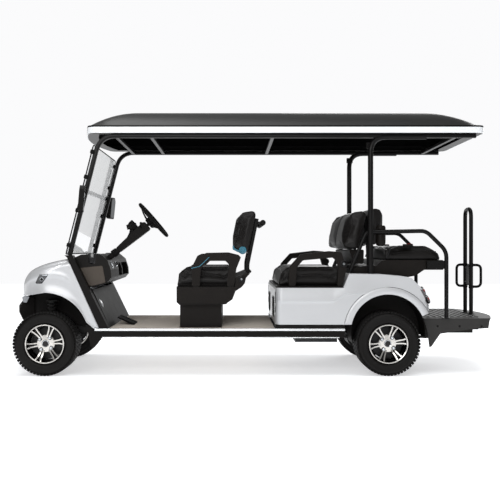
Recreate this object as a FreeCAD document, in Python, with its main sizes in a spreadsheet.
import FreeCAD, Part
import math
import os

import Sketcher
from FreeCAD import Vector

OCTAGON_SHARE = math.sqrt(2) - 1
Y_AXIS = Vector(0, 1, 0)
Z_AXIS = Vector(0, 0, 1)


class Size:
    """A length or angle together with the spreadsheet formula that gives it."""

    def __init__(self, number, formula):
        self.number = number
        self.formula = formula

    def __float__(self):
        return float(self.number)

    def __add__(self, other):
        return Size(number(self) + number(other), "(%s + %s)" % (formula(self), formula(other)))

    def __radd__(self, other):
        return Size(number(other) + number(self), "(%s + %s)" % (formula(other), formula(self)))

    def __sub__(self, other):
        return Size(number(self) - number(other), "(%s - %s)" % (formula(self), formula(other)))

    def __rsub__(self, other):
        return Size(number(other) - number(self), "(%s - %s)" % (formula(other), formula(self)))

    def __mul__(self, other):
        return Size(number(self) * number(other), "(%s * %s)" % (formula(self), formula(other)))

    def __rmul__(self, other):
        return Size(number(other) * number(self), "(%s * %s)" % (formula(other), formula(self)))

    def __truediv__(self, other):
        return Size(number(self) / number(other), "(%s / %s)" % (formula(self), formula(other)))

    def __neg__(self):
        return Size(-number(self), "(0 - %s)" % formula(self))


def number(value):
    """The plain number of a size."""
    return value.number if isinstance(value, Size) else float(value)


def formula(value):
    """The spreadsheet formula of a size, or the plain number written out."""
    return value.formula if isinstance(value, Size) else "%.9g" % value


def bind(thing, path, value):
    """Tie a property of a document object to a size."""
    thing.setExpression(path, formula(value))


def attach(sketch, body, role, level=0):
    """Put a sketch on one of its body's origin planes, moved along the plane's normal."""
    plane = [f for f in body.Origin.OriginFeatures if f.Role == role][0]
    sketch.AttachmentSupport = [(plane, "")]
    sketch.MapMode = "FlatFace"
    bind(sketch, "AttachmentOffset.Base.z", level)


def fix_point(sketch, geometry, end, u, v):
    """Tie one end of a sketch line or arc to its place from the sketch's origin."""
    for kind, value in (("DistanceX", u), ("DistanceY", v)):
        index = sketch.addConstraint(
            Sketcher.Constraint(kind, -1, 1, geometry, end, number(value)))
        bind(sketch, "Constraints[%d]" % index, value)


def arc_centre(start, end, radius):
    """Centre of the short arc between two points; a positive radius turns left."""
    chord = end - start
    half = chord.Length / 2
    side = Vector(-chord.y, chord.x, 0).normalize()
    rise = math.sqrt(max(radius * radius - half * half, 0.0))
    return start + chord * 0.5 + side * (rise if radius > 0 else -rise)


def draw_outline(sketch, points):
    """Closed outline; a point is (u, v), or (u, v, radius) where an arc arrives there."""
    places = [Vector(number(p[0]), number(p[1]), 0) for p in points]
    ends = []
    for i, point in enumerate(points):
        start, end = places[i - 1], places[i]
        if len(point) == 2:
            sketch.addGeometry(Part.LineSegment(start, end), False)
            ends.append((1, 2))
            continue
        radius = number(point[2])
        centre = arc_centre(start, end, radius)
        first, last = (start, end) if radius > 0 else (end, start)
        a, b = first - centre, last - centre
        circle = Part.Circle(centre, Z_AXIS, abs(radius))
        sketch.addGeometry(
            Part.ArcOfCircle(circle, math.atan2(a.y, a.x), math.atan2(b.y, b.x)), False)
        ends.append((1, 2) if radius > 0 else (2, 1))
    count = len(points)
    for i in range(count):
        sketch.addConstraint(Sketcher.Constraint(
            "Coincident", i, ends[i][1], (i + 1) % count, ends[(i + 1) % count][0]))
    for i, point in enumerate(points):
        fix_point(sketch, i, ends[i][1], point[0], point[1])
        if len(point) == 3:
            index = sketch.addConstraint(Sketcher.Constraint("Radius", i, abs(number(point[2]))))
            size = point[2] if number(point[2]) > 0 else -1 * point[2]
            bind(sketch, "Constraints[%d]" % index, size)


def draw_circle(sketch, u, v, radius):
    """A circle tied to its centre and radius."""
    index = sketch.addGeometry(
        Part.Circle(Vector(number(u), number(v), 0), Z_AXIS, number(radius)), False)
    fix_point(sketch, index, 3, u, v)
    tie = sketch.addConstraint(Sketcher.Constraint("Radius", index, number(radius)))
    bind(sketch, "Constraints[%d]" % tie, radius)


def draw_route(sketch, points, bend):
    """Straight runs through the points, with a tangent arc of the bend radius at each corner."""
    places = [Vector(number(p[0]), number(p[1]), 0) for p in points]
    radius = number(bend)
    arcs = []
    for i in range(1, len(places) - 1):
        before = (places[i - 1] - places[i]).normalize()
        after = (places[i + 1] - places[i]).normalize()
        half = before.getAngle(after) / 2
        reach = radius / math.tan(half)
        middle = (before + after).normalize()
        centre = places[i] + middle * (radius / math.sin(half))
        arcs.append((places[i] + before * reach, places[i] + after * reach, centre))
    line_ends, corners = [], []
    for i in range(len(places) - 1):
        start = places[0] if i == 0 else arcs[i - 1][1]
        end = places[-1] if i == len(places) - 2 else arcs[i][0]
        line_ends.append(sketch.addGeometry(Part.LineSegment(start, end), False))
        if i < len(arcs):
            first, last, centre = arcs[i]
            turn = (first - centre).cross(last - centre).z
            a, b = (first, last) if turn > 0 else (last, first)
            a, b = a - centre, b - centre
            circle = Part.Circle(centre, Z_AXIS, radius)
            sketch.addGeometry(
                Part.ArcOfCircle(circle, math.atan2(a.y, a.x), math.atan2(b.y, b.x)), False)
            corner = sketch.addGeometry(Part.Point(places[i + 1]), True)
            corners.append((corner, turn > 0))
    fix_point(sketch, 0, 1, *points[0][:2])
    fix_point(sketch, line_ends[-1], 2, *points[-1][:2])
    for i, (corner, left) in enumerate(corners):
        line, arc, following = line_ends[i], line_ends[i] + 1, line_ends[i + 1]
        begin, finish = (1, 2) if left else (2, 1)
        fix_point(sketch, corner, 1, *points[i + 1][:2])
        sketch.addConstraint(Sketcher.Constraint("PointOnObject", corner, 1, line))
        sketch.addConstraint(Sketcher.Constraint("PointOnObject", corner, 1, following))
        sketch.addConstraint(Sketcher.Constraint("Tangent", line, 2, arc, begin))
        sketch.addConstraint(Sketcher.Constraint("Tangent", arc, finish, following, 1))
        index = sketch.addConstraint(Sketcher.Constraint("Radius", arc, radius))
        bind(sketch, "Constraints[%d]" % index, bend)


AXIS_SIGN = {"XY_Plane": 1, "XZ_Plane": -1, "YZ_Plane": 1}


def new_sketch(body, role, level, name):
    sketch = body.newObject("Sketcher::SketchObject", name)
    attach(sketch, body, role, level)
    return sketch


def add_pad(body, role, outline, low, high, name="pad"):
    """Pad an outline between two levels along the axis across its plane."""
    sign = AXIS_SIGN[role]
    start = low if sign > 0 else -1 * high
    sketch = new_sketch(body, role, start, name + "_outline")
    draw_outline(sketch, outline)
    pad = body.newObject("PartDesign::Pad", name)
    pad.Profile = sketch
    bind(pad, "Length", high - low)
    return pad


def eight_flats(half, u=0):
    """Eight-sided section about (u, 0), by its half width across the flats."""
    near = half * OCTAGON_SHARE
    return [(u + near, -1 * half), (u + half, -1 * near), (u + half, near), (u + near, half),
            (u - near, half), (u - half, near), (u - half, -1 * near), (u - near, -1 * half)]


def sweep(body, role, route, bend, section, level, name):
    """Sweep a section along runs and bends that lie in one plane."""
    path = new_sketch(body, role, level, name + "_route")
    draw_route(path, route, bend)
    path.recompute()
    ring = body.newObject("Sketcher::SketchObject", name + "_section")
    ring.AttachmentSupport = [(path, "Edge1")]
    ring.MapMode = "NormalToEdge"
    draw_outline(ring, section)
    pipe = body.newObject("PartDesign::AdditivePipe", name)
    pipe.Profile = ring
    pipe.Spine = (path, ["Edge%d" % (i + 1) for i in range(2 * len(route) - 3)])
    return pipe


def add_box_tube(body, role, route, bend, half, level, name="tube"):
    """A square tube, bent in one plane."""
    square = [(half, -1 * half), (half, half), (-1 * half, half), (-1 * half, -1 * half)]
    return sweep(body, role, route, bend, square, level, name)


def add_tube(body, role, route, bend, radius, level, name="tube"):
    """A slim tube with eight flats, bent in one plane."""
    return sweep(body, role, route, bend, eight_flats(radius), level, name)


DIMENSIONS = {
    # Stance: the origin lies on the ground under the middle of the overall length.
    "wheelbase": 2450,
    "front_overhang": 310,
    "rear_overhang": 860,
    "tyre_radius": 230,
    "tyre_width": 205,
    "tyre_proud": 20,
    # Rims and hubs.
    "rim_radius": 141,
    "rim_half_width": 95,
    "rim_lip": 12,
    "rim_wall": 7,
    "rim_dish": 12,
    "hub_offset": 16,
    "hub_radius": 62,
    "hub_depth": 40,
    "cap_radius": 27,
    "spindle_radius": 17.95,
    "hub_bore_gap": 0.05,
    "spoke_pairs": 6,
    # Steering and front suspension.
    "kingpin_inset": 92.5,
    "kingpin_radius": 12,
    "kingpin_gap": 0.05,
    "knuckle_height": 106,
    "yoke_gap": 2,
    "yoke_thickness": 15,
    "axle_tube_radius": 24,
    "strut_inset": 65,
    "spring_radius": 26,
    "strut_top": 520,
    # Frame and floor.
    "rail_share": 0.4,
    "rail_width": 45,
    "rail_height": 48,
    "floor_top": 338,
    "floor_sheet": 15,
    "mat_sheet": 3,
    "mat_margin": 60,
    "body_half": 580,
    "rocker_width": 36,
    "rocker_drop": 68,
    # Rear axle and power.
    "rear_axle_radius": 35,
    "leaf_inset": 172.5,
    "leaf_width": 50,
    "leaf_thickness": 16,
    "leaf_half_span": 330,
    "battery_length": 400,
    "battery_inset": 250,
    "battery_height": 267,
    # Front cowl.
    "panel_wall": 5,
    "arch_radius": 312,
    "arch_rise": 56,
    "nose_height": 553,
    "cowl_top": 846,
    "nose_bow": 85,
    "bumper_height": 175,
    "bumper_drop": 8,
    "panel_gap": 0.25,
    # Cab front.
    "strut_foot_z": 862,
    "strut_foot_back": 166,
    "strut_run": 201,
    "strut_rise": 795,
    "post_inset": 55,
    "post_radius": 16,
    "kick_sheet": 12,
    "side_strip_inset": 82,
    "glass_sheet": 5,
    "glass_offset": 24,
    "glass_split": 0.59,
    # Steering wheel.
    "column_inset": 300,
    "column_foot_x": -456,
    "column_foot_z": 876,
    "wheel_run": 290,
    "wheel_lift": 248,
    "steering_radius": 153,
    "steering_grip": 12,
    # Roof.
    "rail_drop": 213,
    "roof_inset": 10,
    "roof_rear_reach": 700,
    "roof_front_back": 292,
    "roof_front_bow": 62,
    "crown_rise": 154.5,
    "band_height": 42,
    "roof_height": 1935,
    "roof_wall": 6,
    "band_sheet": 6,
    "bow_half": 13,
    "rear_post_radius": 20,
    # Seats.
    "seat_box_inset": 35,
    "seat_inset": 45,
    "front_seat_run": 937,
    "rear_body_run": 805,
    "seat_box_top": 634,
    "saddle_top": 730,
    "pan_sheet": 12,
    "rear_box_top": 826,
    "cushion_height": 136,
    "rear_cushion_height": 98,
    "seat_wall": 6,
    "soft_gap": 0.3,
    "back_thickness": 112,
    "back_inset": 77,
    "armrest_width": 37,
    "frame_tube_radius": 15,
    "upright_half": 13,
    "back_post_half": 300,
    "arm_rail_inset": 92,
    "rear_seat_inset": 130,
    # Rear body and step.
    "rear_arch_radius": 270,
    "rear_arch_rise": 86,
    "rear_body_bottom": 367,
    "rear_deck_top": 629,
    "flare_width": 45,
    "flare_proud": 8,
    "step_top": 403,
    "step_sheet": 14,
    "step_inset": 110,
    "step_bow": 100,
    "hoop_half": 78,
    "hoop_top": 1220,
    "hoop_back": 740,
    "hoop_radius": 15.5,
}


doc = FreeCAD.newDocument("GolfCart")
sheet = doc.addObject("Spreadsheet::Sheet", "Sizes")


class Sizes:
    """The driving dimensions, read by name from the spreadsheet."""

    def __getattr__(self, alias):
        return Size(float(sheet.get(alias)), "Sizes." + alias)


for row, (alias, value) in enumerate(DIMENSIONS.items(), start=1):
    sheet.set("A%d" % row, alias)
    sheet.set("B%d" % row, "%g" % value)
    sheet.setAlias("B%d" % row, alias)
doc.recompute()
mm = Sizes()
nodes = {}


def keep(name, thing):
    """Register a finished sub-part under its node name."""
    thing.Label = name
    nodes[name] = thing
    return thing


def new_body(name):
    return doc.addObject("PartDesign::Body", name)


def origin_feature(body, role):
    return [f for f in body.Origin.OriginFeatures if f.Role == role][0]


def mirror_across(body, originals, role="XZ_Plane"):
    """Repeat features on the other side of an origin plane and make that the tip."""
    mirrored = body.newObject("PartDesign::Mirrored", "mirrored")
    mirrored.Originals = originals
    mirrored.MirrorPlane = (origin_feature(body, role), [""])
    body.Tip = mirrored
    return mirrored


def rectangle(u0, v0, u1, v1):
    return [(u0, v0), (u1, v0), (u1, v1), (u0, v1)]


def add_pocket(body, role, outline, low, high, name="pocket"):
    """Cut an outline out of the body between two levels along its plane's axis."""
    sign = AXIS_SIGN[role]
    sketch = new_sketch(body, role, low if sign > 0 else -1 * high, name + "_outline")
    draw_outline(sketch, outline)
    cut = body.newObject("PartDesign::Pocket", name)
    cut.Profile = sketch
    cut.Reversed = True
    bind(cut, "Length", high - low)
    return cut


def add_rod(body, role, u, v, radius, low, high, name="rod"):
    """A round rod along the axis across the plane."""
    sign = AXIS_SIGN[role]
    sketch = new_sketch(body, role, low if sign > 0 else -1 * high, name + "_circle")
    draw_circle(sketch, u, v, radius)
    pad = body.newObject("PartDesign::Pad", name)
    pad.Profile = sketch
    bind(pad, "Length", high - low)
    return pad


def add_bore(body, role, u, v, radius, low, high, name="bore"):
    """A round hole along the axis across the plane."""
    sign = AXIS_SIGN[role]
    sketch = new_sketch(body, role, low if sign > 0 else -1 * high, name + "_circle")
    draw_circle(sketch, u, v, radius)
    cut = body.newObject("PartDesign::Pocket", name)
    cut.Profile = sketch
    cut.Reversed = True
    bind(cut, "Length", high - low)
    return cut


def boolean(kind, name, first, *others):
    """A cut, common or fusion of finished pieces."""
    if kind == "Part::Cut" and len(others) == 1:
        thing = doc.addObject(kind, name)
        thing.Base, thing.Tool = first, others[0]
        return thing
    thing = doc.addObject(kind, name)
    if kind == "Part::Cut":
        thing.Base = first
        thing.Tool = boolean("Part::MultiFuse", name + "_tools", *others)
    else:
        thing.Shapes = [first] + list(others)
    return thing


def both_sides(name, left):
    """The piece and its mirror image across the middle of the vehicle."""
    right = doc.addObject("Part::Mirroring", name + "_right")
    right.Source = left
    right.Normal = Y_AXIS
    pair = doc.addObject("Part::Compound", name)
    pair.Links = [left, right]
    return pair


def slab(name, role, outline, low, high):
    body = new_body(name)
    add_pad(body, role, outline, low, high)
    return body


def square_root(value):
    return Size(math.sqrt(number(value)), "sqrt(%s)" % formula(value))


# Axle places along the vehicle.
front_x = (mm.wheelbase + mm.rear_overhang - mm.front_overhang) / 2
rear_x = front_x - mm.wheelbase
axle_z = mm.tyre_radius
floor_bottom = mm.floor_top - mm.floor_sheet
rail_low = floor_bottom - mm.rail_height
# Widths, all worked out from the body's.
track_half = mm.body_half + mm.tyre_proud - mm.tyre_width / 2
kingpin_half = track_half - mm.kingpin_inset
strut_half = kingpin_half - mm.strut_inset
rail_half = mm.body_half * mm.rail_share
leaf_half = track_half - mm.leaf_inset
battery_half = mm.body_half - mm.battery_inset
post_half = mm.body_half - mm.post_inset
side_strip_inner = mm.body_half - mm.side_strip_inset
dash_half = side_strip_inner
roof_half = mm.body_half - mm.roof_inset
seat_box_half = mm.body_half - mm.seat_box_inset
glass_half = seat_box_half
seat_half = seat_box_half - mm.seat_inset
back_half = seat_box_half - mm.back_inset
arm_rail_half = mm.body_half - mm.arm_rail_inset
rear_seat_half = mm.body_half - mm.rear_seat_inset
step_half = mm.body_half - mm.step_inset
column_y = mm.body_half - mm.column_inset
rail_inner = rail_half - mm.rail_width / 2
rail_outer = rail_half + mm.rail_width / 2
body_front_x = rear_x + mm.rear_body_run
bumper_top = mm.nose_height - mm.bumper_drop
bumper_low = bumper_top - mm.bumper_height


# Wheels

BEAD_GAP = 0.2
SHOULDER_WIDTH = 11
SHOULDER_DROP = 10


def make_tyre(name, x, y, right):
    """Tyre section turned about the axle, with flat tread and chamfered shoulders."""
    body = new_body(name)
    seat = mm.rim_radius + BEAD_GAP
    wide = mm.tyre_width / 2
    tread = mm.tyre_radius
    section = [
        (seat, -1 * wide), (tread - SHOULDER_DROP, -1 * wide), (tread, SHOULDER_WIDTH - wide),
        (tread, wide - SHOULDER_WIDTH), (tread - SHOULDER_DROP, wide), (seat, wide)]
    sketch = new_sketch(body, "XY_Plane", 0, "section")
    draw_outline(sketch, section)
    turned = body.newObject("PartDesign::Revolution", "turned")
    turned.Profile = sketch
    turned.ReferenceAxis = (sketch, ["V_Axis"])
    turned.Angle = 360
    place_wheel(body, x, y, right)
    return keep(name, body)


def place_wheel(body, x, y, right):
    """Set a wheel piece at its axle, with its face outwards."""
    if right:
        body.Placement = FreeCAD.Placement(Vector(0, 0, 0), FreeCAD.Rotation(Z_AXIS, 180))
    bind(body, ".Placement.Base.x", x)
    bind(body, ".Placement.Base.y", -1 * y if right else y)
    bind(body, ".Placement.Base.z", axle_z)


def repeat_round(body, feature, count):
    """Repeat a cut evenly round the wheel's axle."""
    pattern = body.newObject("PartDesign::PolarPattern", "round_" + feature.Name)
    pattern.Originals = [feature]
    pattern.Axis = (origin_feature(body, "Y_Axis"), [""])
    pattern.Angle = 360
    pattern.Occurrences = int(number(count))
    body.Tip = pattern
    return pattern


SPOKE_DEPTH = 20


def make_rim(name, x, y, right):
    """Cast rim: turned drum and dished face, with windows and slots cut through the face."""
    body = new_body(name)
    outer = mm.rim_radius
    inner = outer - mm.rim_wall
    eye = outer - mm.rim_lip
    edge = mm.rim_half_width
    face = edge - mm.rim_dish
    bore = mm.spindle_radius + mm.hub_bore_gap
    back = mm.hub_offset
    section = [
        (outer, edge), (outer, -1 * edge), (inner, -1 * edge), (inner, face - SPOKE_DEPTH),
        (mm.hub_radius, face - SPOKE_DEPTH), (mm.hub_radius, back), (bore, back),
        (bore, back + mm.hub_depth), (0, back + mm.hub_depth), (0, edge - 4),
        (mm.cap_radius, edge - 4), (mm.cap_radius, face), (eye, face), (eye, edge)]
    sketch = new_sketch(body, "XY_Plane", 0, "section")
    draw_outline(sketch, section)
    turned = body.newObject("PartDesign::Revolution", "turned")
    turned.Profile = sketch
    turned.ReferenceAxis = (sketch, ["V_Axis"])
    turned.Angle = 360
    doc.recompute()
    near, far = mm.hub_radius - 8, eye - 7
    window = [(near, -7), (far - 22, -39), (far - 9, -37), (far, -22), (far, 22), (far - 9, 37),
              (far - 22, 39), (near, 7)]
    cut = add_pocket(body, "XZ_Plane", window, back + mm.hub_depth, edge + 1, "window")
    doc.recompute()
    repeat_round(body, cut, mm.spoke_pairs)
    turn = math.pi / number(mm.spoke_pairs)
    along, across = math.cos(turn), math.sin(turn)
    slot = []
    for reach, side in ((near + 12, -3), (far - 2, -4.5), (far - 2, 4.5), (near + 12, 3)):
        slot.append((reach * along - side * across, reach * across + side * along))
    cut = add_pocket(body, "XZ_Plane", slot, back + mm.hub_depth, edge + 1, "slot")
    doc.recompute()
    repeat_round(body, cut, mm.spoke_pairs)
    place_wheel(body, x, y, right)
    return keep(name, body)


for end, x in (("front", front_x), ("rear", rear_x)):
    for side in ("left", "right"):
        make_tyre("tyre_%s_%s" % (end, side), x, track_half, side == "right")
        make_rim("rim_%s_%s" % (end, side), x, track_half, side == "right")


# Front axle

knuckle_low = axle_z - mm.knuckle_height / 2
knuckle_high = axle_z + mm.knuckle_height / 2
yoke_low = knuckle_low - mm.yoke_gap - mm.yoke_thickness
yoke_high = knuckle_high + mm.yoke_gap + mm.yoke_thickness
YOKE_FACE = 24
KNUCKLE_HALF = 19
HUB_GAP = 3


def make_knuckle(name):
    """Steering knuckle: upright block, kingpin, spindle and steering arm."""
    body = new_body(name)
    near = kingpin_half - KNUCKLE_HALF
    add_pad(body, "XY_Plane",
            rectangle(front_x - YOKE_FACE, near, front_x + YOKE_FACE, kingpin_half + KNUCKLE_HALF),
            knuckle_low, knuckle_high, "upright")
    add_rod(body, "XY_Plane", front_x, kingpin_half, mm.kingpin_radius,
            yoke_low - 4, yoke_high + 4, "kingpin")
    shoulder = track_half + mm.hub_offset - HUB_GAP
    add_rod(body, "XZ_Plane", front_x, axle_z, 25, kingpin_half, shoulder, "shoulder")
    add_rod(body, "XZ_Plane", front_x, axle_z, mm.spindle_radius, kingpin_half,
            shoulder + mm.hub_depth, "spindle")
    arm = [(front_x, near + 4), (front_x, near + 24), (front_x - 112, near + 18),
           (front_x - 112, near - 6, -14)]
    add_pad(body, "XY_Plane", arm, knuckle_low + 4, knuckle_low + 18, "arm")
    return body


keep("knuckle_left", make_knuckle("knuckle_left"))
right_source = make_knuckle("knuckle_source")
knuckle_right = doc.addObject("Part::Mirroring", "knuckle_right")
knuckle_right.Source = right_source
knuckle_right.Normal = Y_AXIS
keep("knuckle_right", knuckle_right)


def make_front_axle():
    """Axle beam with a forked end at each kingpin and a sprung strut each side."""
    body = new_body("front_axle")
    fork_root = kingpin_half - KNUCKLE_HALF - 32
    add_rod(body, "XZ_Plane", front_x, axle_z, mm.axle_tube_radius, -1 * fork_root, fork_root, "beam")
    plate = add_pad(body, "XZ_Plane",
                    rectangle(front_x - 22, yoke_low, front_x + 22, yoke_high),
                    fork_root - 6, fork_root + 16, "fork_back")
    reach = kingpin_half + 20
    arms = []
    for low in (yoke_low, yoke_high - mm.yoke_thickness):
        arms.append(add_pad(body, "XY_Plane",
                            rectangle(front_x - 22, fork_root, front_x + 22, reach),
                            low, low + mm.yoke_thickness, "fork_arm"))
    pin_hole = mm.kingpin_radius + mm.kingpin_gap
    hole = add_bore(body, "XY_Plane", front_x, kingpin_half, pin_hole,
                    yoke_low - 1, yoke_high + 1, "kingpin_hole")
    spring_foot = axle_z + mm.axle_tube_radius - 6
    seat = add_rod(body, "XY_Plane", front_x, strut_half, mm.spring_radius + 5,
                   spring_foot, spring_foot + 14, "spring_seat")
    spring = add_rod(body, "XY_Plane", front_x, strut_half, mm.spring_radius,
                     spring_foot + 14, mm.strut_top, "spring")
    mirror_across(body, [plate] + arms + [hole, seat, spring])
    return keep("front_axle", body)


make_front_axle()


# Chassis

def make_chassis():
    """Ladder frame: two box rails, cross members, spring towers and step supports."""
    body = new_body("chassis_frame")
    nose = front_x + 190
    tail = rear_x - mm.rear_overhang + 160
    rail = add_pad(body, "XY_Plane", rectangle(tail, rail_inner, nose, rail_outer),
                   rail_low, floor_bottom, "rail")
    parts = [rail]
    outer = mm.body_half - mm.rocker_width - 4
    for x in (front_x - 560, front_x - 1160, rear_x + 730):
        parts.append(add_pad(body, "XY_Plane", rectangle(x - 20, rail_outer - 5, x + 20, outer + 4),
                             rail_low, floor_bottom, "outrigger"))
    tower = rectangle(front_x - 40, rail_inner, front_x + 40, rail_outer)
    parts.append(add_pad(body, "XY_Plane", tower, floor_bottom - 5, mm.strut_top, "tower"))
    parts.append(add_pad(body, "XY_Plane",
                         rectangle(front_x - 40, rail_inner, front_x + 40, strut_half + 32),
                         mm.strut_top, mm.strut_top + 8, "strut_plate"))
    parts.append(add_pad(body, "XY_Plane",
                         rectangle(nose - 40, rail_inner, nose + 10, rail_outer),
                         floor_bottom - 5, bumper_top - 65, "bumper_horn"))
    leaf_end = leaf_half + mm.leaf_width / 2
    for x in (rear_x + mm.leaf_half_span, rear_x - mm.leaf_half_span):
        parts.append(add_pad(body, "XY_Plane", rectangle(x - 20, rail_outer - 5, x + 20, leaf_end),
                             rail_low, floor_bottom, "spring_hanger"))
    step_low = mm.step_top - mm.step_sheet
    for x in (rear_x - 350, tail + 40):
        parts.append(add_pad(body, "XY_Plane", rectangle(x - 25, 0, x + 25, step_half - 30),
                             floor_bottom - 5, step_low, "step_support"))
    for x in (nose - 40, front_x - 340, front_x - 1000, rear_x + 760, rear_x + 262, rear_x - 500):
        parts.append(add_pad(body, "XY_Plane", rectangle(x - 18, 0, x + 18, rail_inner + 5),
                             rail_low + 4, floor_bottom - 4, "cross_member"))
    mirror_across(body, parts)
    return keep("chassis_frame", body)


make_chassis()


def make_rear_axle():
    """Live axle with gear case, motor, brake back plates and a leaf spring each side."""
    body = new_body("rear_axle")
    hub_back = track_half + mm.hub_offset
    tube_end = track_half - 84
    add_rod(body, "XZ_Plane", rear_x, axle_z, mm.rear_axle_radius, -1 * tube_end, tube_end, "tube")
    add_rod(body, "XZ_Plane", rear_x, axle_z, 78, -60, 60, "gear_case")
    add_rod(body, "XZ_Plane", rear_x + 150, axle_z + 5, 85, -50, 175, "motor")
    add_pad(body, "XZ_Plane", rectangle(rear_x, axle_z - 45, rear_x + 150, axle_z + 45), -45, 45,
            "gear_housing")
    plate = add_rod(body, "XZ_Plane", rear_x, axle_z, 88, tube_end - 8, tube_end, "back_plate")
    shaft = add_rod(body, "XZ_Plane", rear_x, axle_z, 25, tube_end - 1, hub_back - HUB_GAP, "shaft")
    stub = add_rod(body, "XZ_Plane", rear_x, axle_z, mm.spindle_radius, hub_back - HUB_GAP - 1,
                   hub_back - HUB_GAP + mm.hub_depth, "stub")
    inner = leaf_half - mm.leaf_width / 2
    outer = leaf_half + mm.leaf_width / 2
    crown = axle_z + mm.rear_axle_radius
    span, drop = mm.leaf_half_span, 22
    top = crown + mm.leaf_thickness
    spring_outline = [
        (rear_x - span, crown - drop), (rear_x - 40, crown - 2), (rear_x + 40, crown - 2),
        (rear_x + span, crown - drop), (rear_x + span, crown - drop + mm.leaf_thickness),
        (rear_x + 40, top), (rear_x - 40, top), (rear_x - span, crown - drop + mm.leaf_thickness)]
    leaf = add_pad(body, "XZ_Plane", spring_outline, inner, outer, "leaf")
    parts = [plate, shaft, stub, leaf]
    low = rail_low
    for x in (rear_x + span, rear_x - span):
        parts.append(add_pad(body, "XZ_Plane",
                             rectangle(x - 12, crown - drop + 2, x + 12, low),
                             inner, outer, "shackle"))
    mirror_across(body, parts)
    return keep("rear_axle", body)


make_rear_axle()


def make_battery():
    """Battery pack over the rails, with its tray let down between them."""
    body = new_body("battery_pack")
    front = body_front_x - 60
    back = front - mm.battery_length
    add_pad(body, "XY_Plane", rectangle(back, -1 * battery_half, front, battery_half),
            floor_bottom, floor_bottom + mm.battery_height, "cells")
    inner = rail_inner - 4
    add_pad(body, "XY_Plane", rectangle(back - 30, -1 * inner, front - 110, inner),
            rail_low - 76, floor_bottom + 5, "tray")
    return keep("battery_pack", body)


make_battery()


# Floor and sills

def make_floor():
    body = new_body("floor_board")
    edge = mm.body_half - mm.rocker_width
    add_pad(body, "XY_Plane", rectangle(body_front_x + 1, -1 * edge, front_x - 390, edge),
            floor_bottom, mm.floor_top, "board")
    doc.recompute()
    mat = edge - mm.mat_margin
    add_pad(body, "XY_Plane", rectangle(front_x - 920, -1 * mat, front_x - 640, mat),
            mm.floor_top - 1, mm.floor_top + mm.mat_sheet, "mat")
    return keep("floor_board", body)


make_floor()


def make_sills():
    """Outer rockers below the floor edge, the bright trim on them and the sill behind."""
    inner = mm.body_half - mm.rocker_width
    front = front_x - 400
    back = rear_x + 310
    low = floor_bottom - mm.rocker_drop + 15
    rocker = [(back, low + 8), (back + 12, low), (front, low), (front, floor_bottom),
              (back, floor_bottom)]
    body = new_body("rocker_panels")
    lower = add_pad(body, "XZ_Plane", rocker, inner, mm.body_half, "rocker")
    sill = add_pad(body, "XZ_Plane",
                   rectangle(back, mm.floor_top + 0.3, body_front_x - 2, mm.rear_body_bottom - 0.3),
                   inner + 4, mm.body_half - 4, "sill")
    mirror_across(body, [lower, sill])
    keep("rocker_panels", body)
    trim = new_body("rocker_trim")
    strip = add_pad(trim, "XY_Plane", rectangle(back, inner, front + 45, mm.body_half + 2),
                    floor_bottom, mm.floor_top, "strip")
    mirror_across(trim, [strip])
    keep("rocker_trim", trim)


make_sills()


# Front cowl

CORE_OVERRUN = 60


def cowl_side(inset):
    """Side outline of the cowl: wheel arch, nose and the slanted edge along the cab.

    The hollow's own outline, which has an inset, overruns the open underside and back.
    """
    hollow = number(inset) > 0
    drop = CORE_OVERRUN if hollow else 0
    crown = axle_z + mm.arch_rise + mm.arch_radius
    nose_x = front_x + mm.front_overhang - 25 - inset
    underside = [
        (front_x - 383 - drop, 346 - drop), (front_x - 355, 340 - drop),
        (front_x - 300, 384 - drop), (front_x, crown - drop, -1 * mm.arch_radius),
        (nose_x, mm.nose_height - drop)]
    if hollow:
        underside.append((nose_x, mm.nose_height))
    return underside + [
        (front_x + 140 - inset * 0.6, 782 - inset, 330),
        (front_x - 148 - drop, mm.cowl_top - inset, 560),
        (front_x - 160 - drop, mm.cowl_top - 8 - inset)]


def cowl_plan(inset):
    """Plan of the cowl: straight sides, rounded corners and a bowed nose."""
    half = mm.body_half - inset
    nose = front_x + mm.front_overhang - 25 - inset
    corner = nose - mm.nose_bow
    return [
        (front_x - 480, -1 * half), (front_x + 40, -1 * half),
        (corner, -1 * half + 150, 190), (corner, half - 150, bow_radius(half - 150, mm.nose_bow)),
        (front_x + 40, half, 190), (front_x - 480, half)]


def bow_radius(half_chord, bow):
    """Radius of the arc that rises by the bow over twice the half chord."""
    return (half_chord * half_chord + bow * bow) / (2 * bow)


def crossed(name, side_outline, plan_outline, low, high):
    """The solid that has one outline from the side and another from above."""
    half = mm.body_half + 20
    side = slab(name + "_side", "XZ_Plane", side_outline, -1 * half, half)
    plan = slab(name + "_plan", "XY_Plane", plan_outline, low, high)
    return boolean("Part::MultiCommon", name, side, plan)


headlamp_tool = slab(
    "headlamp_tool", "XZ_Plane",
    [(front_x + 126, 642), (front_x + 65, 723), (front_x + 7, 715), (front_x + 65, 664)],
    mm.body_half - 190, mm.body_half + 20)
cowl_outer = crossed("cowl_outer", cowl_side(0), cowl_plan(0), 200, 900)
cowl_inner = crossed("cowl_inner", cowl_side(mm.panel_wall), cowl_plan(mm.panel_wall), 200, 900)
lamp_tools = both_sides("lamp_tools", headlamp_tool)
keep("front_cowl", boolean("Part::Cut", "front_cowl", cowl_outer, cowl_inner, lamp_tools))
lens_back = crossed("lens_back", cowl_side(mm.panel_wall * 4), cowl_plan(mm.panel_wall * 4), 200, 900)
lens_solid = boolean("Part::MultiCommon", "lens_solid", cowl_outer, lamp_tools)
keep("headlamps", boolean("Part::Cut", "headlamps", lens_solid, lens_back))


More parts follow.
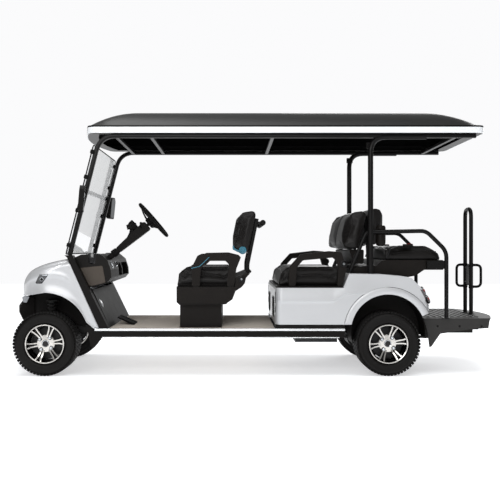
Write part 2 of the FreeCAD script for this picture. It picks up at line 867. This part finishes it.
def make_bumper():
    """Front bumper: bowed face with its upper edge laid back."""
    body = new_body("front_bumper")
    tip = front_x + mm.front_overhang
    back = front_x + 200
    half, bow = 340, 70
    plan = [(back, -half), (tip - bow, -half), (tip - bow, half, bow_radius(half, bow)),
            (back, half)]
    add_pad(body, "XY_Plane", plan, bumper_low, bumper_top, "block")
    doc.recompute()
    top, low = bumper_top + 15, bumper_low - 5
    add_pocket(body, "XZ_Plane", [(tip + 5, top - 80), (tip + 5, top), (tip - 62, top)],
               -half - 60, half + 60, "upper_slope")
    add_pocket(body, "XZ_Plane", [(tip + 5, low), (tip + 5, low + 65), (tip - 30, low)],
               -half - 60, half + 60, "lower_slope")
    return keep("front_bumper", body)


make_bumper()


# Cab front

def cowl_edge(z):
    """Place along the cowl's rear edge at a height."""
    return front_x - 383 + (z - 346) * 0.4533


def make_bulkhead():
    """Kick panel across the cab with a slanted strip up each side behind the cowl."""
    body = new_body("bulkhead_panel")
    gap = mm.panel_gap
    foot = mm.floor_top
    strip = [
        (cowl_edge(foot) - 66, foot), (cowl_edge(foot) - gap, foot),
        (cowl_edge(mm.cowl_top) - gap, mm.cowl_top),
        (cowl_edge(mm.cowl_top) + 18, mm.strut_foot_z),
        (cowl_edge(mm.cowl_top) - 38, mm.strut_foot_z)]
    side = add_pad(body, "XZ_Plane", strip, side_strip_inner, mm.body_half - 4, "side_strip")
    kick = [
        (cowl_edge(foot) - 66, foot), (cowl_edge(foot) - 66 + mm.kick_sheet, foot),
        (cowl_edge(foot) + 60 + mm.kick_sheet, 612), (cowl_edge(foot) + 60, 612)]
    mirror_across(body, [side])
    add_pad(body, "XZ_Plane", kick, -1 * side_strip_inner - 1, side_strip_inner + 1, "kick")
    return keep("bulkhead_panel", body)


make_bulkhead()


column_x = front_x + mm.column_foot_x
column_z = mm.column_foot_z
column_angle = math.degrees(math.atan2(number(mm.wheel_run), number(mm.wheel_lift)))


def place_on_column(body):
    """Stand a piece that was made upright on the slanted steering column."""
    body.Placement = FreeCAD.Placement(Vector(0, 0, 0), FreeCAD.Rotation(Y_AXIS, -column_angle))
    bind(body, ".Placement.Base.x", column_x)
    bind(body, ".Placement.Base.y", column_y)
    bind(body, ".Placement.Base.z", column_z)


column_length = square_root(mm.wheel_run * mm.wheel_run + mm.wheel_lift * mm.wheel_lift)
column_radius = mm.steering_grip + 10
COLUMN_GAP = 0.1


def make_dashboard():
    """Dashboard moulding across the cab with a cubby each side and a hole for the column."""
    body = new_body("dashboard_block")
    top = mm.strut_foot_z + 5
    outline = [
        (front_x - 461, 700), (front_x - 434, 668), (front_x - 332, 630), (front_x - 262, 640),
        (front_x - 214, 740), (front_x - 186, 815), (front_x - 186, 842), (front_x - 245, top),
        (front_x - 385, top), (front_x - 434, 825), (front_x - 457, 755)]
    half = dash_half
    add_pad(body, "XZ_Plane", outline, -1 * half, half, "moulding")
    doc.recompute()
    for low, high in ((-1 * half + 40, -130), (-90, 90)):
        add_pocket(body, "XZ_Plane",
                   [(front_x - 480, 705), (front_x - 290, 695), (front_x - 290, 800),
                    (front_x - 480, 800)], low, high, "cubby")
        doc.recompute()
    for low, high in ((half - 94, half - 14), (-1 * half + 14, -1 * half + 94)):
        add_pocket(body, "XZ_Plane", rectangle(front_x - 375, top - 62, front_x - 295, top + 1),
                   low, high, "cup_well")
        doc.recompute()
    hole = doc.addObject("Part::Cylinder", "column_hole")
    bind(hole, "Radius", column_radius + COLUMN_GAP)
    bind(hole, "Height", column_length)
    hole.Placement = FreeCAD.Placement(
        Vector(0, 0, 0), FreeCAD.Rotation(Y_AXIS, -column_angle))
    reach = 0.3
    bind(hole, ".Placement.Base.x", column_x + mm.wheel_run * reach)
    bind(hole, ".Placement.Base.y", column_y)
    bind(hole, ".Placement.Base.z", column_z - mm.wheel_lift * reach)
    return keep("dashboard", boolean("Part::Cut", "dashboard", body, hole))


make_dashboard()


def make_column():
    """Steering column: tapered shroud from inside the dashboard up to the wheel."""
    body = new_body("steering_column")
    end = column_length - 60
    shroud = [(-1 * column_radius, 40), (column_radius, 40), (34, end - 90), (38, end - 12),
              (30, end), (-30, end), (-38, end - 12), (-34, end - 90)]
    add_pad(body, "XZ_Plane", shroud, -32, 32, "shroud")
    add_rod(body, "XY_Plane", 0, 0, column_radius, column_length * -0.25, 60, "tube")
    add_rod(body, "XY_Plane", 0, 0, 12, end - 5, end + 7.7, "shaft")
    place_on_column(body)
    pod = new_body("gauge_pod")
    add_rod(pod, "XY_Plane", 0, 0, 22, 0, 64, "pod_stem")
    add_rod(pod, "XY_Plane", 0, 0, 38, 62, 98, "pod_head")
    pod.Placement = FreeCAD.Placement(Vector(0, 0, 0), FreeCAD.Rotation(Y_AXIS, 14))
    bind(pod, ".Placement.Base.x", column_x - mm.wheel_run * 0.5)
    bind(pod, ".Placement.Base.y", column_y)
    bind(pod, ".Placement.Base.z", column_z + mm.wheel_lift * 0.5)
    return keep("steering_column", boolean("Part::MultiFuse", "steering_column", body, pod))


make_column()


def make_steering_wheel():
    """Steering wheel: grip ring, three dished spokes and a hub cap."""
    body = new_body("steering_wheel")
    sketch = new_sketch(body, "XZ_Plane", 0, "grip_section")
    draw_outline(sketch, eight_flats(mm.steering_grip, mm.steering_radius))
    grip = body.newObject("PartDesign::Revolution", "grip")
    grip.Profile = sketch
    grip.ReferenceAxis = (sketch, ["V_Axis"])
    grip.Angle = 360
    doc.recompute()
    add_rod(body, "XY_Plane", 0, 0, 36, -52, -10, "hub")
    spoke = add_pad(body, "XZ_Plane",
                    [(20, -44), (mm.steering_radius, -5), (mm.steering_radius, 5), (20, -26)],
                    -11, 11, "spoke")
    doc.recompute()
    pattern = body.newObject("PartDesign::PolarPattern", "spokes")
    pattern.Originals = [spoke]
    pattern.Axis = (origin_feature(body, "Z_Axis"), [""])
    pattern.Angle = 360
    pattern.Occurrences = 3
    body.Tip = pattern
    body.Placement = FreeCAD.Placement(Vector(0, 0, 0), FreeCAD.Rotation(Y_AXIS, -column_angle))
    bind(body, ".Placement.Base.x", column_x - mm.wheel_run)
    bind(body, ".Placement.Base.y", column_y)
    bind(body, ".Placement.Base.z", column_z + mm.wheel_lift)
    return keep("steering_wheel", body)


make_steering_wheel()


def make_pedals():
    """Brake and accelerator plates, raised at their front edge above the floor."""
    x = front_x - 607
    plate = [(x, mm.floor_top), (x + 14, mm.floor_top), (x + 128, mm.floor_top + 56),
             (x + 122, mm.floor_top + 64), (x, mm.floor_top + 12)]
    pads = [slab("pedal_%d" % i, "XZ_Plane", plate, column_y + low, column_y + high)
            for i, (low, high) in enumerate(((-150, -90), (-60, 40)))]
    both = doc.addObject("Part::Compound", "pedals")
    both.Links = pads
    return keep("pedals", both)


make_pedals()


def make_splash_flaps():
    """Splash flap behind each front wheel."""
    x = front_x
    outline = [
        (x - 300, 382), (x - 353, 340), (x - 353, floor_bottom - 0.3),
        (x - 400, floor_bottom - 0.3), (x - 400, 261), (x - 335, 193),
        (x - 322, 220), (x - 308, 288)]
    flap = slab("splash_flap", "XZ_Plane", outline, mm.body_half - 20, mm.body_half - 12)
    return keep("splash_flaps", both_sides("splash_flaps", flap))


make_splash_flaps()


# Roof, posts and glass

post_foot_x = front_x - mm.strut_foot_back
rail_axis_z = mm.roof_height - mm.rail_drop
band_bottom = mm.roof_height - mm.crown_rise - mm.band_height
glass_top = rail_axis_z - 67
glass_split_z = mm.strut_foot_z + (glass_top - mm.strut_foot_z) * mm.glass_split
post_top_x = post_foot_x - mm.strut_run * ((rail_axis_z - mm.strut_foot_z) / mm.strut_rise)
roof_back = rear_x - mm.roof_rear_reach
roof_front = front_x - mm.roof_front_back


def make_roof_frame():
    """Side rail bent down into the front post, rear post bent into the rail, and cross bows."""
    body = new_body("roof_frame")
    side = post_half
    lift = mm.post_radius * 0.27
    front = add_box_tube(body, "XZ_Plane",
                         [(post_foot_x - lift * 0.25, mm.strut_foot_z + lift),
                          (post_top_x, rail_axis_z),
                          (roof_back + 60, rail_axis_z)],
                         150, mm.post_radius, -1 * side, "front_post")
    doc.recompute()
    foot = mm.rear_deck_top + 100
    rear_post_x = rear_x + 117
    bend_z = rail_axis_z + mm.post_radius - mm.rear_post_radius - 2
    rear = add_box_tube(body, "XZ_Plane",
                        [(rear_post_x, foot), (rear_post_x, bend_z), (rear_post_x - 400, bend_z)],
                        120, mm.rear_post_radius, -1 * side, "rear_post")
    doc.recompute()
    tie = add_rod(body, "XZ_Plane", rear_post_x, 1031, 12,
                  arm_rail_half + mm.frame_tube_radius + 0.3, side, "rail_tie")
    mirror_across(body, [front, rear, tie])
    doc.recompute()
    half = mm.bow_half
    for x in (front_x - 500, front_x - 753, rear_x + 822, rear_x - 500):
        add_pad(body, "XZ_Plane", rectangle(x - half, rail_axis_z - half, x + half, rail_axis_z + half),
                -1 * side, side, "bow")
        doc.recompute()
    return keep("roof_frame", body)


make_roof_frame()


def roof_plan(inset):
    """Roof from above: bowed front, straight sides, rounded rear corners."""
    half = roof_half - inset
    front = roof_front - inset
    back = roof_back + inset
    corner = 60
    return [
        (back, -1 * half + corner), (back + corner, -1 * half, 66),
        (front - 60, -1 * half), (front, -1 * half + 60, 66),
        (front, half - 60, bow_radius(half - 60, mm.roof_front_bow)), (front - 60, half, 66),
        (back + corner, half), (back, half - corner, 66)]


def roof_crown(name, inset):
    """Crowned roof block: the plan, arched both along and across."""
    bottom = band_bottom + mm.band_height
    low = bottom if number(inset) == 0 else band_bottom - 5
    top = mm.roof_height - inset
    rim = bottom - inset + 12
    back, front = roof_back - 5, roof_front + mm.roof_front_bow + 20
    plan = slab(name + "_plan", "XY_Plane", roof_plan(inset), low, top + 1)
    along = slab(name + "_along", "XZ_Plane",
                 [(back, low - 10), (front, low - 10), (front, rim), (front - 380, top, 900),
                  (back + 380, top), (back, rim, 900)], -1 * roof_half, roof_half)
    half = roof_half + 1
    across = slab(name + "_across", "YZ_Plane",
                  [(-1 * half, low - 10), (half, low - 10), (half, rim), (half - 300, top, 560),
                   (300 - half, top), (-1 * half, rim, 560)], back, front)
    return boolean("Part::MultiCommon", name, plan, along, across)


def make_roof():
    """Roof canopy: crowned shell with an inner skirt and flange, and the band round it."""
    outer = roof_crown("roof_outer", 0)
    skirt_in = mm.band_sheet + 0.3
    skirt = slab("roof_skirt", "XY_Plane", roof_plan(skirt_in), band_bottom,
                 band_bottom + mm.band_height + 2)
    hollow = roof_crown("roof_hollow", mm.roof_wall + mm.band_sheet)
    shell = boolean("Part::MultiFuse", "roof_block", outer, skirt)
    flange = slab("roof_flange", "XY_Plane", roof_plan(mm.band_sheet + 3), band_bottom,
                  band_bottom + 5)
    window = slab("roof_flange_window", "XY_Plane", roof_plan(85), band_bottom - 1,
                  band_bottom + 6)
    ledge = boolean("Part::Cut", "roof_ledge", flange, window)
    canopy = boolean("Part::Cut", "roof_shell", shell, hollow)
    keep("roof_canopy", boolean("Part::MultiFuse", "roof_canopy", canopy, ledge))
    band = slab("band_block", "XY_Plane", roof_plan(0), band_bottom,
                band_bottom + mm.band_height)
    inside = slab("band_inside", "XY_Plane", roof_plan(mm.band_sheet), band_bottom - 1,
                  band_bottom + mm.band_height + 1)
    keep("roof_band", boolean("Part::Cut", "roof_band", band, inside))


make_roof()


def along_post(z, offset):
    """A point at a height on a line parallel to the front post, offset forwards."""
    return (post_foot_x + offset - mm.strut_run * ((z - mm.strut_foot_z) / mm.strut_rise), z)


def make_glass():
    """Windshield: two clear panes in front of the posts and the hinge strip between them."""
    near = mm.glass_offset
    far = near + mm.glass_sheet
    bottom, split, top = mm.strut_foot_z + 8, glass_split_z, glass_top
    gap = 4
    body = new_body("windshield")
    for low, high in ((bottom, split - gap), (split + gap, top)):
        add_pad(body, "XZ_Plane",
                [along_post(low, near), along_post(low, far), along_post(high, far),
                 along_post(high, near)], -1 * glass_half, glass_half, "pane")
        doc.recompute()
    keep("windshield", body)
    strip = new_body("windshield_hinge")
    front, back = far + 7, near - 7
    add_pad(strip, "XZ_Plane",
            [along_post(split - 14, back), along_post(split - 14, near - 0.3),
             along_post(split - gap + 0.5, near - 0.3), along_post(split - gap + 0.5, far + 0.3),
             along_post(split - 14, far + 0.3), along_post(split - 14, front),
             along_post(split + 14, front), along_post(split + 14, far + 0.3),
             along_post(split + gap - 0.5, far + 0.3), along_post(split + gap - 0.5, near - 0.3),
             along_post(split + 14, near - 0.3), along_post(split + 14, back)],
            -1 * glass_half, glass_half, "strip")
    keep("windshield_hinge", strip)


make_glass()


def make_mirrors():
    """Side mirrors: shell on a bent arm clamped to the front post."""
    z = glass_split_z
    x = along_post(z, 0)[0]
    body = new_body("side_mirror")
    start = post_half + mm.post_radius + 1.6
    add_tube(body, "YZ_Plane", [(start, z), (start + 105, z + 20), (start + 140, z - 30)],
             25, 7, x + 3, "arm")
    doc.recompute()
    add_pad(body, "YZ_Plane",
            [(start + 75, z - 150), (start + 90, z - 165, 18), (start + 190, z - 165),
             (start + 205, z - 150, 18), (start + 205, z + 10), (start + 190, z + 25, 18),
             (start + 90, z + 25), (start + 75, z + 10, 18)], x - 18, x + 22, "shell")
    doc.recompute()
    keep("side_mirrors", both_sides("side_mirrors", body))


make_mirrors()


# Seats

seat_front = front_x - mm.front_seat_run
pan_top = mm.rear_deck_top + mm.pan_sheet


def make_seat_bases():
    """Front seat pedestal, pan under the second row and box under the rear-facing seat."""
    x = seat_front
    top = mm.seat_box_top
    low = mm.floor_top
    wide = seat_box_half
    front = new_body("front_base")
    upper = [
        (x - 21, 505), (x, 525), (x, top), (x - 421, top), (x - 423, 700),
        (x - 499, mm.saddle_top), (x - 527, mm.saddle_top), (x - 499, 700), (x - 489, 659),
        (x - 467, 633), (x - 423, 604),
        (x - 401, 545), (x - 350, 509)]
    add_pad(front, "XZ_Plane", upper, -1 * wide, wide, "upper")
    doc.recompute()
    pedestal = rectangle(x - 323, low, x - 21, 520)
    add_pad(front, "XZ_Plane", pedestal, 60 - wide, wide - 60, "pedestal")
    doc.recompute()
    wall = mm.seat_wall
    add_pocket(front, "XY_Plane", rectangle(x - 360, 80 - wide, x - 60, wide - 80),
               520, top + 1, "bin")
    doc.recompute()
    add_pocket(front, "XY_Plane", rectangle(x - 323 + wall, 66 - wide, x - 21 - wall, wide - 66),
               low + wall, 525, "bin_foot")
    doc.recompute()
    y = body_front_x
    pan = new_body("second_pan")
    add_pad(pan, "XY_Plane", rectangle(y - 485, -1 * wide, y - 8, wide),
            mm.rear_deck_top, pan_top, "pan")
    doc.recompute()
    add_pocket(pan, "XY_Plane", rectangle(y - 470, 100 - wide, y - 50, wide - 100),
               mm.rear_deck_top - 1, pan_top + 1, "opening")
    doc.recompute()
    box = new_body("rear_box")
    half = rear_seat_half + 10
    r = rear_x
    outline = [
        (r + 255, 731.5), (r + 255, 765), (r + 60, 790), (r + 15, mm.rear_box_top),
        (r - 423, mm.rear_box_top),
        (r - 423, 755), (r - 286, 755), (r - 220, 712), (r - 166, 702), (r - 94, 714.3),
        (r + 52, 727.3)]
    add_pad(box, "XZ_Plane", outline, -1 * half, half, "box")
    doc.recompute()
    add_pocket(box, "XY_Plane", rectangle(r - 400, 25 - half, r - 20, half - 25), 765,
               mm.rear_box_top + 1, "bin")
    doc.recompute()
    bases = doc.addObject("Part::Compound", "seat_bases")
    bases.Links = [front, pan, box]
    return keep("seat_bases", bases)


make_seat_bases()


def make_cushion(name, back, front, half, low, high):
    """Plain closed cushion with rounded upper edges."""
    body = new_body(name)
    r = 30
    add_pad(body, "XZ_Plane",
            [(back, low), (front, low), (front, high - r), (front - r, high, 32),
             (back + r, high), (back, high - r, 32)], -1 * half, half, "pad")
    return keep(name, body)


make_cushion("front_seat_cushion", seat_front - 412, seat_front + 4, seat_half,
             mm.seat_box_top + mm.soft_gap, mm.seat_box_top + mm.soft_gap + mm.cushion_height)
make_cushion("middle_seat_cushion", body_front_x - 484, body_front_x - 24, seat_half,
             pan_top + mm.soft_gap, pan_top + mm.soft_gap + mm.cushion_height - 6)
make_cushion("rear_seat_cushion", rear_x - 410, rear_x - 5, rear_seat_half,
             mm.rear_box_top + mm.soft_gap,
             mm.rear_box_top + mm.soft_gap + mm.rear_cushion_height)


def make_back(name, x_low, z_low, x_high, z_high, thick, half):
    """Leaning back cushion with a rounded top; a negative thickness faces rearwards."""
    body = new_body(name)
    r = 40
    sign = 1 if number(thick) > 0 else -1
    rise = 36
    lean = (x_high - x_low) / (z_high - z_low)
    outline = [
        (x_low, z_low), (x_high - lean * rise, z_high - rise),
        (x_high - sign * r, z_high, sign * 42),
        (x_high - thick + sign * r, z_high - 4),
        (x_high - thick - lean * rise, z_high - rise - sign * 4, sign * 42),
        (x_low - thick, z_low - sign * 4)]
    add_pad(body, "XZ_Plane", outline, -1 * half, half, "pad")
    return keep(name, body)


FRONT_BACK = (seat_front - 405, 885, seat_front - 467, 1188, mm.back_thickness)
MIDDLE_BACK = (body_front_x - 500, 907, body_front_x - 565, 1186, mm.back_thickness)
REAR_BACK = (rear_x + 8, 938, rear_x + 22, 1209, -85)
make_back("front_seat_back", *FRONT_BACK, back_half)
make_back("middle_seat_back", *MIDDLE_BACK, back_half)
make_back("rear_seat_back", *REAR_BACK, rear_seat_half)


def back_panel(back, z):
    """Place at a height on the flat face behind a back cushion."""
    x_low, z_low, x_high, z_high, thick = back
    step = 4 if number(thick) > 0 else -4
    return x_low - thick + (x_high - x_low) * ((z - z_low + step) / (z_high - z_low))


def back_height(back, x):
    """Height at which the face behind a back cushion stands at a place."""
    x_low, z_low, x_high, z_high, thick = back
    return z_low - 4 + (x - x_low + thick) * (z_high - z_low) / (x_high - x_low)


def box_top(x):
    """Height at a place on the sloped front part of the rear seat box."""
    return 765 + (rear_x + 255 - x) * (25 / 195)


def make_armrests():
    """Moulded armrests: an open arch standing on the seat box at each side."""
    inner = seat_box_half - mm.armrest_width
    s = seat_front
    low = mm.seat_box_top
    front = slab("front_armrest", "XZ_Plane", [
        (s - 110, low), (s - 110, 774), (s - 149, 861), (s - 180, 873), (s - 367, 877),
        (s - 461, 853), (s - 430, 766), (s - 412, low), (s - 360, low), (s - 375, 798),
        (s - 352, 821), (s - 230, 821), (s - 173, 770), (s - 165, low)],
        inner, seat_box_half)
    b = body_front_x
    low = pan_top
    middle = slab("middle_armrest", "XZ_Plane", [
        (b - 96, low), (b - 104, 782), (b - 182, 868), (b - 385, 892), (b - 475, 885),
        (b - 512, 760), (b - 484, low), (b - 445, low), (b - 455, 770), (b - 440, 822),
        (b - 415, 845), (b - 200, 825), (b - 155, 775), (b - 147, low)],
        inner, seat_box_half)
    left = doc.addObject("Part::Compound", "armrests_left")
    left.Links = [front, middle]
    return keep("armrests", both_sides("armrests", left))


make_armrests()


def make_seat_frames():
    """Tube frames: supports of the backs, grab bar, and the rails beside the rear seat."""
    front = new_body("front_back_frame")
    s = seat_front
    y = back_half - 60
    away = mm.soft_gap + mm.upright_half * 1.021
    foot_x = s - 513
    post = add_box_tube(front, "XZ_Plane",
                        [(foot_x, mm.saddle_top), (foot_x, back_height(FRONT_BACK, foot_x + away)),
                         (back_panel(FRONT_BACK, 1130) - away, 1130)],
                        200, mm.upright_half, -1 * y, "upright")
    bar_x = s - 625
    bar_stub = add_pad(front, "XZ_Plane", rectangle(bar_x, 1092, s - 575, 1108), y - 8, y + 8,
                       "bar_stub")
    mirror_across(front, [post, bar_stub])
    doc.recompute()
    add_rod(front, "XZ_Plane", bar_x, 1100, 14, -1 * y - 12, y + 12, "grab_bar")
    doc.recompute()
    cross_x = back_panel(FRONT_BACK, 880) - away
    add_pad(front, "XZ_Plane", rectangle(cross_x - 10, 870, cross_x + 10, 890), -1 * y, y,
            "cross_tube")
    middle = new_body("middle_back_frame")
    foot, top, deep = 786, 1150, 22
    face = [(back_panel(REAR_BACK, z) + mm.soft_gap, z) for z in (foot, top)]
    post = add_pad(middle, "XZ_Plane",
                   [(face[0][0], box_top(face[0][0])), (face[0][0] + deep, box_top(face[0][0] + deep)),
                    (face[1][0] + deep, top), (face[1][0], top)],
                   mm.back_post_half, mm.back_post_half + 22, "upright")
    parts = [post]
    for low in (955, 1080):
        high = low + 25
        parts.append(add_pad(middle, "XZ_Plane", [
            (back_panel(REAR_BACK, low) + 10, low),
            (back_panel(MIDDLE_BACK, low) - mm.soft_gap, low),
            (back_panel(MIDDLE_BACK, high) - mm.soft_gap, high),
            (back_panel(REAR_BACK, low) + 10, high)],
            mm.back_post_half, mm.back_post_half + 22, "bracket"))
    mirror_across(middle, parts)
    doc.recompute()
    x = back_panel(REAR_BACK, 1120) + 4
    add_pad(middle, "XZ_Plane", rectangle(x, 1110, x + 14, 1130),
            -1 * mm.back_post_half, mm.back_post_half, "cross_bar")
    rails = new_body("arm_rails")
    r = rear_x
    rail = add_box_tube(rails, "XZ_Plane",
                        [(r + 262, 736.6), (r + 141, 1030), (r - 293, 1038), (r - 441, 892),
                         (r - 441, mm.step_top)],
                        60, mm.frame_tube_radius, -1 * arm_rail_half, "arm_rail")
    doc.recompute()
    gusset = add_pad(rails, "XZ_Plane", [(r - 300, 760), (r - 441, 760), (r - 441, 822), (r - 300, 822)],
                     rear_seat_half + 10, arm_rail_half, "gusset")
    mirror_across(rails, [rail, gusset])
    frames = doc.addObject("Part::Compound", "seat_frames")
    frames.Links = [front, middle, rails]
    return keep("seat_frames", frames)


make_seat_frames()


# Rear body, lamps and step

def rear_side(inset):
    """Side outline of the rear body with its wheel arch."""
    r, b = rear_x, body_front_x
    inner = number(inset) > 0
    low = mm.rear_body_bottom - (40 if inner else 0)
    tail = 440 - (40 if inner else 0)
    centre_z = axle_z + mm.rear_arch_rise
    arch = mm.rear_arch_radius
    front_run = square_root(arch * arch - (low - centre_z) * (low - centre_z))
    rear_run = square_root(arch * arch - (tail - centre_z) * (tail - centre_z))
    top = mm.rear_deck_top - inset
    return [
        (b - inset, low), (b - inset, top - 12), (b - 12 - inset, top, 14), (b - 485, top),
        (r + 278 - inset, 731 - inset), (r + 52, 727 - inset), (r - 94, 714 - inset),
        (r - 166, 700 - inset), (r - 239 + inset, 627), (r - 294 + inset, 527),
        (r - 298 + inset, tail), (r - rear_run, tail),
        (r, centre_z + arch, -1 * arch), (r + front_run, low, -1 * arch)]


def rear_plan(inset):
    """Plan of the rear body with rounded corners."""
    half = mm.body_half - inset
    front = body_front_x - inset
    back = rear_x - 298 + inset
    corner = 46
    return [
        (back, -1 * half + 70), (back + 70, -1 * half, 76),
        (front - corner, -1 * half), (front, -1 * half + corner, 50),
        (front, half - corner), (front - corner, half, 50),
        (back + 70, half), (back, half - 70, 76)]


tail_tool = both_sides("tail_tools", slab(
    "tail_lamp_tool", "XZ_Plane",
    [(rear_x - 228, 618), (rear_x - 330, 618), (rear_x - 330, 529), (rear_x - 278, 529)],
    mm.body_half - 110, mm.body_half + 20))
rear_outer = crossed("rear_outer", rear_side(0), rear_plan(0), 200, 900)
rear_inner = crossed("rear_inner", rear_side(mm.panel_wall), rear_plan(mm.panel_wall), 200, 900)
battery_door = slab("battery_opening", "XY_Plane",
                    rectangle(body_front_x - 470, 100 - seat_box_half, body_front_x - 50,
                              seat_box_half - 100), mm.rear_deck_top - 20, mm.rear_deck_top + 5)
rear_shell = boolean("Part::Cut", "rear_shell", rear_outer, rear_inner, tail_tool, battery_door)


def make_flares():
    """Wheel arch flare: a shallow ring that stands proud of the rear side panel."""
    body = new_body("flare")
    centre = axle_z + mm.rear_arch_rise
    low = 440
    inner = mm.rear_arch_radius
    outer = inner + mm.flare_width
    rise = low - centre
    run_in = square_root(inner * inner - rise * rise)
    run_out = square_root(outer * outer - rise * rise)
    add_pad(body, "XZ_Plane", [
        (rear_x + run_out, low), (rear_x, centre + outer, outer),
        (rear_x - run_out + 22, low + 1, outer + 6), (rear_x - run_in, low),
        (rear_x, centre + inner, -1 * inner), (rear_x + run_in, low, -1 * inner)],
        mm.body_half - 2, mm.body_half + mm.flare_proud, "ring")
    return both_sides("flares", body)


keep("rear_body", boolean("Part::MultiFuse", "rear_body", rear_shell, make_flares()))
tail_back = crossed("tail_back", rear_side(mm.panel_wall * 4), rear_plan(mm.panel_wall * 4), 200, 900)
tail_solid = boolean("Part::MultiCommon", "tail_solid", rear_outer, tail_tool)
keep("tail_lamps", boolean("Part::Cut", "tail_lamps", tail_solid, tail_back))


def make_step():
    """Rear footboard: bowed deck with side skirts that run down into pointed flaps."""
    body = new_body("rear_step")
    r = rear_x
    back = r - mm.rear_overhang
    corner = back + mm.step_bow
    half = step_half
    low = mm.step_top - mm.step_sheet
    plan = [(r - 280, -1 * half), (r - 280, half), (corner, half), (corner - 12, half - 30),
            (corner - 12, 30 - half, bow_radius(half - 30, mm.step_bow - 12)),
            (corner, -1 * half)]
    add_pad(body, "XY_Plane", plan, low, mm.step_top, "deck")
    doc.recompute()
    mat = half - mm.mat_margin
    add_pad(body, "XY_Plane", rectangle(r - mm.hoop_back + 50, -1 * mat, r - 310, mat),
            mm.step_top - 1, mm.step_top + mm.mat_sheet, "mat")
    doc.recompute()
    side = [
        (r - 280, low + 4), (r - 307, 308), (r - 321, 193), (r - 335, 197), (r - 400, 290),
        (r - 611, 322), (corner + 9, 331), (corner, low + 4)]
    skirt = add_pad(body, "XZ_Plane", side, half - 8, half, "skirt")
    mirror_across(body, [skirt])
    return keep("rear_step", body)


make_step()


def make_hoop():
    """Grab hoop on the step: tall inverted U, tie plate and a looped hand grip each side."""
    body = new_body("grab_hoop")
    x = rear_x - mm.hoop_back
    leg = mm.hoop_half
    add_tube(body, "YZ_Plane",
             [(-1 * leg, mm.step_top), (-1 * leg, mm.hoop_top), (leg, mm.hoop_top),
              (leg, mm.step_top)], 60, mm.hoop_radius, x, "hoop")
    doc.recompute()
    add_pad(body, "YZ_Plane", rectangle(-1 * leg, 623, leg, 788), x - 3, x + 3, "tie_plate")
    doc.recompute()
    add_tube(body, "XZ_Plane", [(x, 614), (x - 76, 614), (x - 76, 782), (x, 782)], 38, 10,
             -1 * leg, "rear_grip")
    doc.recompute()
    add_tube(body, "XZ_Plane", [(x, 614), (x + 66, 614), (x + 66, 782), (x, 782)], 38, 10,
             leg, "front_grip")
    return keep("grab_hoop", body)


make_hoop()


doc.recompute()
failed = [thing.Name for thing in doc.Objects
          if "Invalid" in thing.State or "Error" in thing.State]
if failed:
    raise SystemExit("objects that failed: " + ", ".join(failed))
for name, thing in nodes.items():
    if thing.Shape.isNull() or not thing.Shape.isValid():
        raise SystemExit("bad shape: " + name)
os.makedirs("parts", exist_ok=True)
for name, thing in nodes.items():
    thing.Shape.exportStep("parts/%s.step" % name)
    print("%-22s %2d solid(s) %12.0f mm3" % (name, len(thing.Shape.Solids), thing.Shape.Volume))
print(len(nodes), "sub-parts")
